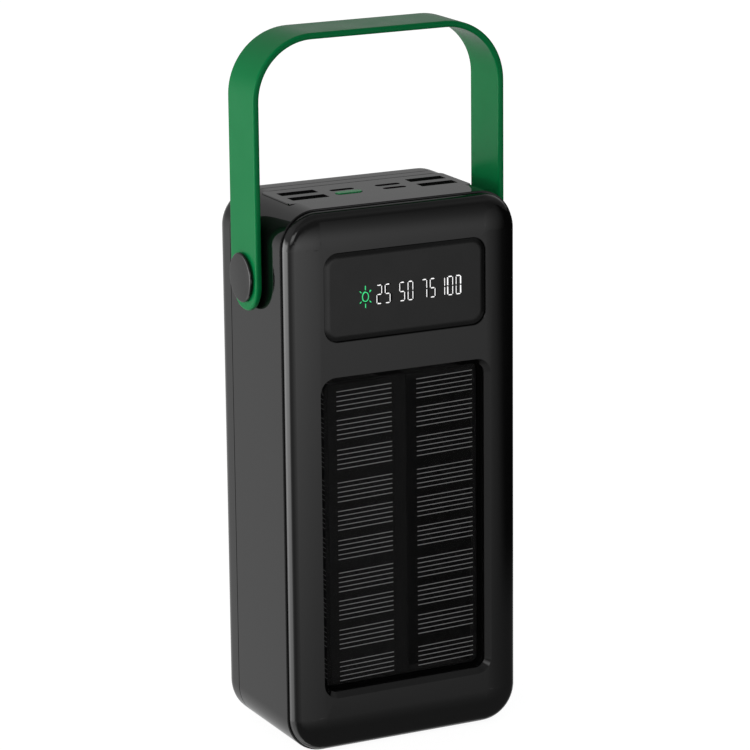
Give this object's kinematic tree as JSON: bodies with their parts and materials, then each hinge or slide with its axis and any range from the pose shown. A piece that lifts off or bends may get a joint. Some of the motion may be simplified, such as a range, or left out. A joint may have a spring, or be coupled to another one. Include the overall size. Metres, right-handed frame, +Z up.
{
  "type": "solar power bank",
  "caption": "Tall black solar power bank with a recessed solar panel, a lit charge display, top sockets and a green swinging strap handle.",
  "frame": {"origin": "centre of the base, at the bottom of the whole object's box", "axes": "+Z up, +X to the right seen from the front; the solar panel looks along -Y"},
  "size_m": [0.0886, 0.0522, 0.2248],
  "materials": {
    "shell": "satin black moulded plastic",
    "port_plate": "satin black moulded plastic",
    "window": "smoked satin plastic",
    "lit_white": "glowing white",
    "lit_green": "glowing green",
    "led_housing": "matte black",
    "board": "green solder mask",
    "chip": "matte black epoxy",
    "can": "aluminium can",
    "inductor": "ferrite grey",
    "solar_cover": "clear laminate",
    "solar_film": "black cell film",
    "solar_backsheet": "black board",
    "gasket": "black rubber frame",
    "handle": "satin green moulded strap",
    "pivot": "satin black plastic",
    "washer": "natural nylon",
    "screw": "zinc plated",
    "socket_shell": "nickel plated sheet",
    "socket_tongue": "black nylon",
    "green_tongue": "green nylon",
    "cell": "blue shrink sleeve",
    "cell_tray": "black moulded tray",
    "nickel": "nickel strip",
    "lead": "red silicone lead",
    "ribbon": "white flat ribbon",
    "button": "satin black plastic"
  },
  "bodies": {
    "housing": {"front_bezel": "shell", "middle_shell": "shell", "rear_cover": "shell", "port_plate": "port_plate", "solar_cover": "solar_cover", "solar_cell_left": "solar_film", "solar_cell_right": "solar_film", "solar_backsheet": "solar_backsheet", "solar_gasket": "gasket", "display_window": "window", "display_housing": "led_housing", "display_board": "board", "sun_indicator": "lit_green", "digits_25": "lit_white", "digits_50": "lit_white", "digits_75": "lit_white", "digits_100": "lit_white", "main_board": "board", "power_inductors": "inductor", "board_capacitors": "can", "power_chips": "chip", "board_screws": "screw", "cell_tray_lower": "cell_tray", "cell_tray_upper": "cell_tray", "cell_spacer": "cell_tray", "nickel_strips": "nickel", "battery_leads": "lead", "solar_leads": "lead", "display_ribbon": "ribbon", "rear_screws": "screw", "button_switch": "chip", "button_board": "board", "pivot_cap_left": "pivot", "pivot_washer_left": "washer", "pivot_screw_left": "screw", "usb_a_shell_rear_left": "socket_shell", "usb_a_tongue_rear_left": "socket_tongue", "usb_a_shell_front_left": "socket_shell", "usb_a_tongue_front_left": "socket_tongue", "pivot_cap_right": "pivot", "pivot_washer_right": "washer", "pivot_screw_right": "screw", "usb_a_shell_rear_right": "socket_shell", "usb_a_tongue_rear_right": "socket_tongue", "usb_a_shell_front_right": "socket_shell", "usb_a_tongue_front_right": "socket_tongue", "micro_usb_shell": "socket_shell", "micro_usb_tongue": "socket_tongue", "green_usb_c_shell": "socket_shell", "green_usb_c_tongue": "green_tongue", "usb_c_shell": "socket_shell", "usb_c_tongue": "socket_tongue", "slim_port_shell": "socket_shell", "slim_port_tongue": "socket_tongue", "cells_front_lower": "cell", "cells_front_upper": "cell", "cells_rear_lower": "cell", "cells_rear_upper": "cell"},
    "carry_handle": {"handle": "handle"},
    "power_key": {"power_button": "button"}
  },
  "joints": [
    {"name": "handle_swing", "type": "hinge", "parent": "housing", "child": "carry_handle", "pos_m": [0, -0.00173, 0.1496], "axis": [1, 0, 0], "range_deg": [-140, 140]},
    {"name": "power_button_press", "type": "slide", "parent": "housing", "child": "power_key", "axis": [-1, 0, 0], "range_m": [0, 0.0004], "stiffness_N_per_m": 1600, "springref_m": -0.0004}
  ]
}
